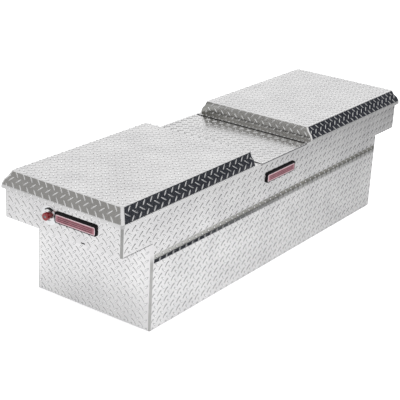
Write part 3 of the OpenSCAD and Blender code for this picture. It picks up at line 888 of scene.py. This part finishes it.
# ---- badges and locks ----

def rounded_outline(length, height, radius, centre=(0, 0)):
    """A rectangle with round corners in a badge's own plane, anticlockwise."""
    points = []
    for cx, cy, start in ((1, 1, 0), (-1, 1, 90), (-1, -1, 180), (1, -1, 270)):
        for k in range(CORNER_STEPS + 1):
            angle = math.radians(start + 90 * k / CORNER_STEPS)
            points.append((centre[0] + cx * (length / 2 - radius) + radius * math.cos(angle),
                           centre[1] + cy * (height / 2 - radius) + radius * math.sin(angle)))
    return points


def loft(name, outlines, matrix, material):
    """A solid through outlines at rising depths, each an (outline, depth) pair, closed at both ends."""
    count = len(outlines[0][0])
    points = [matrix @ Vector((x, y, depth)) for outline, depth in outlines for x, y in outline]
    faces = [tuple(range(count))[::-1]]
    for k in range(len(outlines) - 1):
        for i in range(count):
            j = (i + 1) % count
            faces.append((k * count + i, k * count + j, (k + 1) * count + j, (k + 1) * count + i))
    faces.append(tuple(range((len(outlines) - 1) * count, len(outlines) * count)))
    obj = make_object(name, points, faces, [material], smooth=True)
    fix_normals(obj)
    obj.data.set_sharp_from_angle(angle=SHARP_LOFT)
    return obj


def slab(name, size, radius, depths, matrix, material, centre=(0, 0), ease=SLAB_EASE):
    """A rounded slab between two depths with an eased front edge."""
    length, height = size
    full = rounded_outline(length, height, radius, centre)
    eased = rounded_outline(length - 2 * ease, height - 2 * ease, radius - ease / 2, centre)
    return loft(name, [(full, depths[0]), (full, depths[1] - ease), (eased, depths[1])], matrix, material)


def make_badge(prefix, matrix):
    """A black body with a plate that stands on it, low of its middle. The plate has a pale border and plain
    ribs, which stand in for lettering."""
    lowest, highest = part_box(f"{prefix}_badge_frame")
    span = highest - lowest
    length, height = max(span.x, span.y), span.z
    thick = min(span.x, span.y)
    front = thick + BADGE_DEPTH
    body = slab(f"{prefix}_badge_body", (length, height), BADGE_ROUND, (0, front), matrix, "badge_black",
                ease=BADGE_EASE)
    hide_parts(f"{prefix}_badge_frame")
    middle = BADGE_MIDDLE
    size = (length - BORDER_MARGIN[0], height - BORDER_MARGIN[1])
    border = slab(f"{prefix}_badge_border", size, BORDER_ROUND, (front - BORDER_SINK, front + BORDER_RISE),
                  matrix, "badge_line", middle)
    inner = (size[0] - 2 * BORDER_WIDTH, size[1] - 2 * BORDER_WIDTH)
    plate = slab(f"{prefix}_badge_face", inner, PLATE_ROUND, (front, front + PLATE_RISE), matrix,
                 "badge_red", middle)
    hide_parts(f"{prefix}_badge_plate")
    parts = [(body, "badge_black"), (border, "badge_red"), (plate, "badge_red")]
    for i in range(BADGE_RIBS):
        place = (middle[0], middle[1] + (i - (BADGE_RIBS - 1) / 2) * BADGE_RIB_PITCH)
        rib = slab(f"{prefix}_badge_rib_{i}", (inner[0] - RIB_MARGIN, RIB_HEIGHT), RIB_ROUND,
                   (front + RIB_FOOT, front + RIB_RISE), matrix, "badge_rib", place, RIB_EASE)
        parts.append((rib, "badge_red"))
    for part, slot in parts:
        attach(part, "root")


def wall_matrix(out, along, place):
    """A frame on a wall: x runs along it, y is up and z points out of it."""
    out, along = Vector(out), Vector(along)
    columns = (along, out.cross(along), out)
    return Matrix.Translation(place) @ Matrix(columns).transposed().to_4x4()


def node_middle(node):
    lowest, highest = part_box(node)
    return (lowest + highest) / 2


def make_badges():
    middle = node_middle("front_badge_frame")
    make_badge("front", wall_matrix((0, -1, 0), (1, 0, 0), (middle.x, -BODY_D, middle.z)))
    for side, sign in SIDES.items():
        middle = node_middle(f"{side}_badge_frame")
        make_badge(side, wall_matrix((sign, 0, 0), (0, sign, 0), (sign * BODY_L, middle.y, middle.z)))


def make_locks():
    """A black arc over each lock's collar, a dark piece standing for painted shade on the upper rim of the
    lock's recess.
    """
    for side, sign in SIDES.items():
        matrix = wall_matrix((sign, 0, 0), (0, sign, 0), (sign * BODY_L, LOCK.y, LOCK.z))
        outer, inner = [], []
        for k in range(SHADE_ARC_STEPS + 1):
            angle = math.radians(90 + SHADE_ARC_SPAN * (k / SHADE_ARC_STEPS - 0.5))
            outer.append((SHADE_ARC_OUTER * math.cos(angle), SHADE_ARC_OUTER * math.sin(angle)))
            inner.append((SHADE_ARC_INNER * math.cos(angle), SHADE_ARC_INNER * math.sin(angle)))
        outline = outer + inner[::-1]
        shade_arc = loft(f"{side}_lock_shade_arc", [(outline, 0), (outline, SHADE_ARC_DEPTH)], matrix, "seal_rubber")
        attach(shade_arc, "root")


# ---- materials on the CAD nodes ----

def finish_nodes():
    """Gives each kept CAD part its finish, and eases the edges of the small hardware."""
    finishes = {
        "tread_plate": ["front_panel", "rear_panel", "floor_pan", "centre_panel", "lower_end", "wing_floor",
                        "upper_end"],
        "plain_sheet": ["lid_liner"],
        "mill_back": ["front_rim", "rear_rim", "end_rim", "hinge_beam", "lid_stiffeners"],
        "hinge_steel": ["fixed_leaf", "lid_leaf", "hinge_pin"],
        "zinc_steel": ["latch_case", "latch_hook", "release_lever",
                       "lock_nut", "strut_bracket", "striker", "lid_bracket"],
        "seal_rubber": ["seal"],
        "lock_ring": ["lock_housing"],
        "red_button": ["lock_button"],
        "key_metal": ["key_cylinder"],
        "black_tube": ["gas_tube"],
        "rod_steel": ["gas_rod"],
        "badge_black": ["badge_frame"],
        "badge_red": ["badge_plate"],
    }
    for obj in list(bpy.context.scene.objects):
        if obj.type != "MESH":
            continue
        for name, endings in finishes.items():
            if any(obj.name == e or obj.name.endswith("_" + e) for e in endings):
                obj.data.materials.clear()
                obj.data.materials.append(MATERIALS[name])
                if name in ("zinc_steel", "seal_rubber"):
                    ease = obj.modifiers.new("ease", "BEVEL")
                    ease.width = HARDWARE_EASE
                    ease.segments = 2
                    ease.limit_method = "ANGLE"
                    ease.angle_limit = EASED_FOLD
    for name in ("front_panel", "rear_panel"):
        mark_painted_shade(bpy.data.objects[name])
    for name in ("lower_end", "upper_end", "wing_floor"):
        for side in SIDES:
            mark_back(bpy.data.objects[f"{side}_{name}"])
    mark_back(bpy.data.objects["floor_pan"])


def mark_painted_shade(wall):
    """Painted shade in darker metal at the corner bends and on the groove's upper flank, its own material on
    the groove's lower flank, and a plain mill finish on its back."""
    names = ["tread_plate", "bend", "tub_bend", "upper_flank_painted_shade", "flank_low", "mill_back"]
    for name in names[1:]:
        wall.data.materials.append(MATERIALS[name])
    for face in wall.data.polygons:
        normal, middle = face.normal, face.center
        name = "tread_plate"
        if normal.y * middle.y < 0:
            name = "mill_back"
        elif abs(normal.x) > BEND_SIDE and abs(normal.y) > BEND_SIDE:
            name = "bend" if abs(middle.x) > TUB_L else "tub_bend"
        elif abs(normal.z) > SLOPED and abs(normal.y) > LEVEL:
            name = "upper_flank_painted_shade" if normal.z < 0 else "flank_low"
        face.material_index = names.index(name)


def mark_back(obj):
    """A plain mill finish on the faces of an end or a floor that look into the box."""
    obj.data.materials.append(MATERIALS["mill_back"])
    upright = "end" in obj.name
    for face in obj.data.polygons:
        inward = face.normal.x * face.center.x < 0 if upright else face.normal.z > LEVEL
        face.material_index = 1 if inward else 0


# ---- studio ----

def make_world():
    """Plain white light all round. Seen in the metal it has a dim corner to the front right and a
    half-dim one to the left, as a studio's unlit walls would look."""
    world = bpy.data.worlds.new("studio")
    bpy.context.scene.world = world
    world.use_nodes = True
    tree = world.node_tree
    tree.nodes.clear()
    place = tree.nodes.new("ShaderNodeTexCoord")
    tone = None
    for direction, wide, near, colour in DIM_WALLS:
        dot = tree.nodes.new("ShaderNodeVectorMath")
        dot.operation = "DOT_PRODUCT"
        dot.inputs[1].default_value = Vector(direction).normalized()
        link(tree, place.outputs["Generated"], dot.inputs[0])
        fall = tree.nodes.new("ShaderNodeMapRange")
        fall.interpolation_type = "SMOOTHSTEP"
        fall.inputs["From Min"].default_value = math.cos(math.radians(wide))
        fall.inputs["From Max"].default_value = math.cos(math.radians(near))
        link(tree, dot.outputs["Value"], fall.inputs["Value"])
        blend = tree.nodes.new("ShaderNodeMix")
        blend.data_type = "RGBA"
        blend.inputs["A"].default_value = (1, 1, 1, 1)
        blend.inputs["B"].default_value = (*colour, 1)
        link(tree, fall.outputs["Result"], blend.inputs["Factor"])
        if tone is not None:
            link(tree, tone, blend.inputs["A"])
        tone = blend.outputs["Result"]
    paths = tree.nodes.new("ShaderNodeLightPath")
    level = tree.nodes.new("ShaderNodeMix")
    level.data_type = "RGBA"
    level.inputs["A"].default_value = (STUDIO_LEVEL, STUDIO_LEVEL, STUDIO_LEVEL, 1)
    link(tree, paths.outputs["Is Glossy Ray"], level.inputs["Factor"])
    link(tree, tone, level.inputs["B"])
    background = tree.nodes.new("ShaderNodeBackground")
    background.inputs["Strength"].default_value = 1.0
    link(tree, level.outputs["Result"], background.inputs["Color"])
    output = tree.nodes.new("ShaderNodeOutputWorld")
    tree.links.new(background.outputs["Background"], output.inputs["Surface"])


def make_floor():
    """A pale floor. Seen in the metal it grows dimmer away from the box, as light falls off it."""
    material, tree, shader = new_material("studio_floor")
    shader.inputs["Roughness"].default_value = FLOOR_ROUGHNESS
    shader.inputs["Specular IOR Level"].default_value = 0.0
    seen = tree.nodes.new("ShaderNodeLightPath")
    place = tree.nodes.new("ShaderNodeTexCoord")
    reach = tree.nodes.new("ShaderNodeVectorMath")
    reach.operation = "LENGTH"
    fall = tree.nodes.new("ShaderNodeMapRange")
    fall.inputs["From Min"].default_value = FLOOR_NEAR
    fall.inputs["From Max"].default_value = FLOOR_FAR
    fall.inputs["To Min"].default_value = FLOOR_DIM[0]
    fall.inputs["To Max"].default_value = FLOOR_DIM[1]
    share = tree.nodes.new("ShaderNodeMath")
    share.operation = "MULTIPLY"
    tone = tree.nodes.new("ShaderNodeMix")
    tone.data_type = "RGBA"
    tone.inputs["A"].default_value = (*FLOOR_TONE, 1)
    tone.inputs["B"].default_value = (0, 0, 0, 1)
    link(tree, place.outputs["Object"], reach.inputs[0])
    link(tree, reach.outputs["Value"], fall.inputs["Value"])
    link(tree, fall.outputs["Result"], share.inputs[0])
    link(tree, seen.outputs["Is Glossy Ray"], share.inputs[1])
    link(tree, share.outputs["Value"], tone.inputs["Factor"])
    link(tree, tone.outputs["Result"], shader.inputs["Base Color"])
    link(tree, tone.outputs["Result"], shader.inputs["Emission Color"])
    shader.inputs["Emission Strength"].default_value = FLOOR_GLOW
    MATERIALS["floor"] = material
    half = FLOOR_HALF
    floor = make_object("floor", [(-half, -half, 0), (half, -half, 0), (half, half, 0), (-half, half, 0)],
                        [(0, 1, 2, 3)], ["floor"])
    floor.location = FLOOR_PLACE


def make_light():
    """One soft light from above and to the front left, aimed at the box and not mirrored in its metal."""
    data = bpy.data.lights.new("softbox", "AREA")
    data.shape = "RECTANGLE"
    data.size, data.size_y = SOFTBOX_SIZE
    data.energy = SOFTBOX_POWER
    light = bpy.data.objects.new("softbox", data)
    bpy.context.scene.collection.objects.link(light)
    light.location = SOFTBOX_PLACE
    light.visible_glossy = False
    light.rotation_euler = (-SOFTBOX_PLACE).to_track_quat("-Z", "Y").to_euler()


make_world()
make_floor()
make_light()
bpy.context.scene.view_settings.view_transform = "Standard"
finish_nodes()
make_lids()
make_lugs("front_and_end_lugs", "root", Walls(-1).lugs(), "wall_lug", "wall_flank_painted_shade")
make_lugs("rear_lugs", "root", Walls(1).lugs()[:1], "wall_lug", "wall_flank_painted_shade")
make_wing_edges()
CentreSheet().make()
make_badges()
make_locks()
